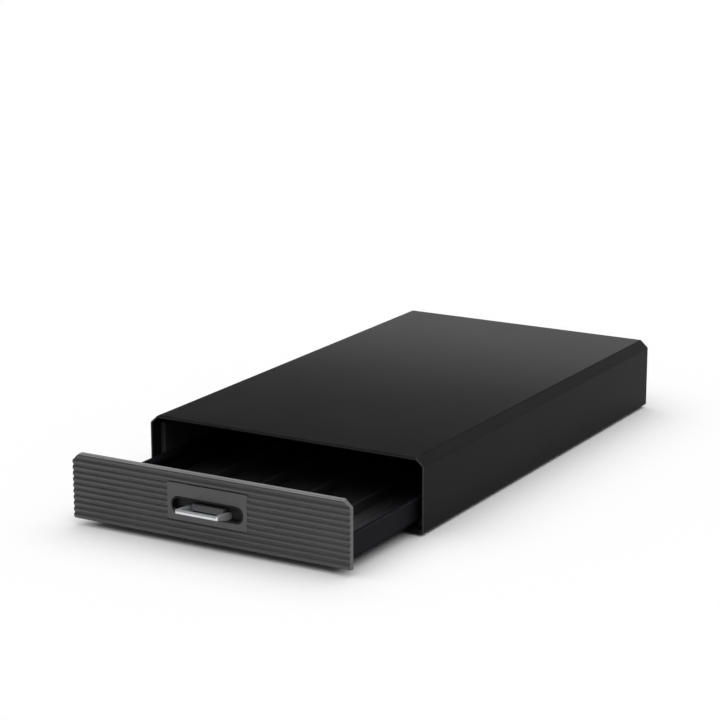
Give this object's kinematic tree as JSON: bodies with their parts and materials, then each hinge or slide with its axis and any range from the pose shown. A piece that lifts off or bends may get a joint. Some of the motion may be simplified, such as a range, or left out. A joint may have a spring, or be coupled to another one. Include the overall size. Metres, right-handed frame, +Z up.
{
  "type": "coffee pod drawer",
  "caption": "Low steel casing with a flat top that carries a coffee machine and a pull-out drawer with channels for rows of coffee pods behind a reeded front.",
  "frame": {"origin": "on the surface that the feet stand on, at the middle of the plan box of the part with its drawer drawn out 99 mm", "axes": "+X to the right of someone facing the drawer front, +Y from the front to the back, +Z up"},
  "size_m": [0.23, 0.506, 0.057],
  "materials": {
    "casing_black": "satin black powder coat",
    "guide_metal": "satin black",
    "runner_plastic": "smooth low-friction plastic",
    "black_rubber": "matte",
    "screw_steel": "zinc-plated",
    "front_plastic": "satin anthracite",
    "pocket_plastic": "satin",
    "handle_chrome": "polished",
    "rail_plastic": "satin",
    "tray_plastic": "matte",
    "tray_metal": "satin black",
    "rack_plastic": "fine grain"
  },
  "bodies": {
    "casing": {"casing_shell": "casing_black", "base_plate": "casing_black", "rear_panel": "casing_black", "left_guide": "guide_metal", "right_guide": "guide_metal", "left_runner": "runner_plastic", "right_runner": "runner_plastic", "drawer_stops": "guide_metal", "rear_bumpers": "black_rubber", "rubber_feet": "black_rubber", "base_screws": "screw_steel", "rear_screws": "screw_steel"},
    "drawer": {"drawer_front": "front_plastic", "handle_pocket": "pocket_plastic", "pull_handle": "handle_chrome", "handle_screws": "screw_steel", "front_screws": "screw_steel", "front_wall": "tray_plastic", "left_side": "rail_plastic", "right_side": "rail_plastic", "drawer_bottom": "tray_metal", "drawer_back": "tray_plastic", "corner_screws": "screw_steel", "tilt_glides": "runner_plastic", "pod_rack": "rack_plastic"}
  },
  "joints": [
    {"name": "drawer_slide", "type": "slide", "parent": "casing", "child": "drawer", "axis": [0, -1, 0], "range_m": [-0.099, 0.201]}
  ]
}
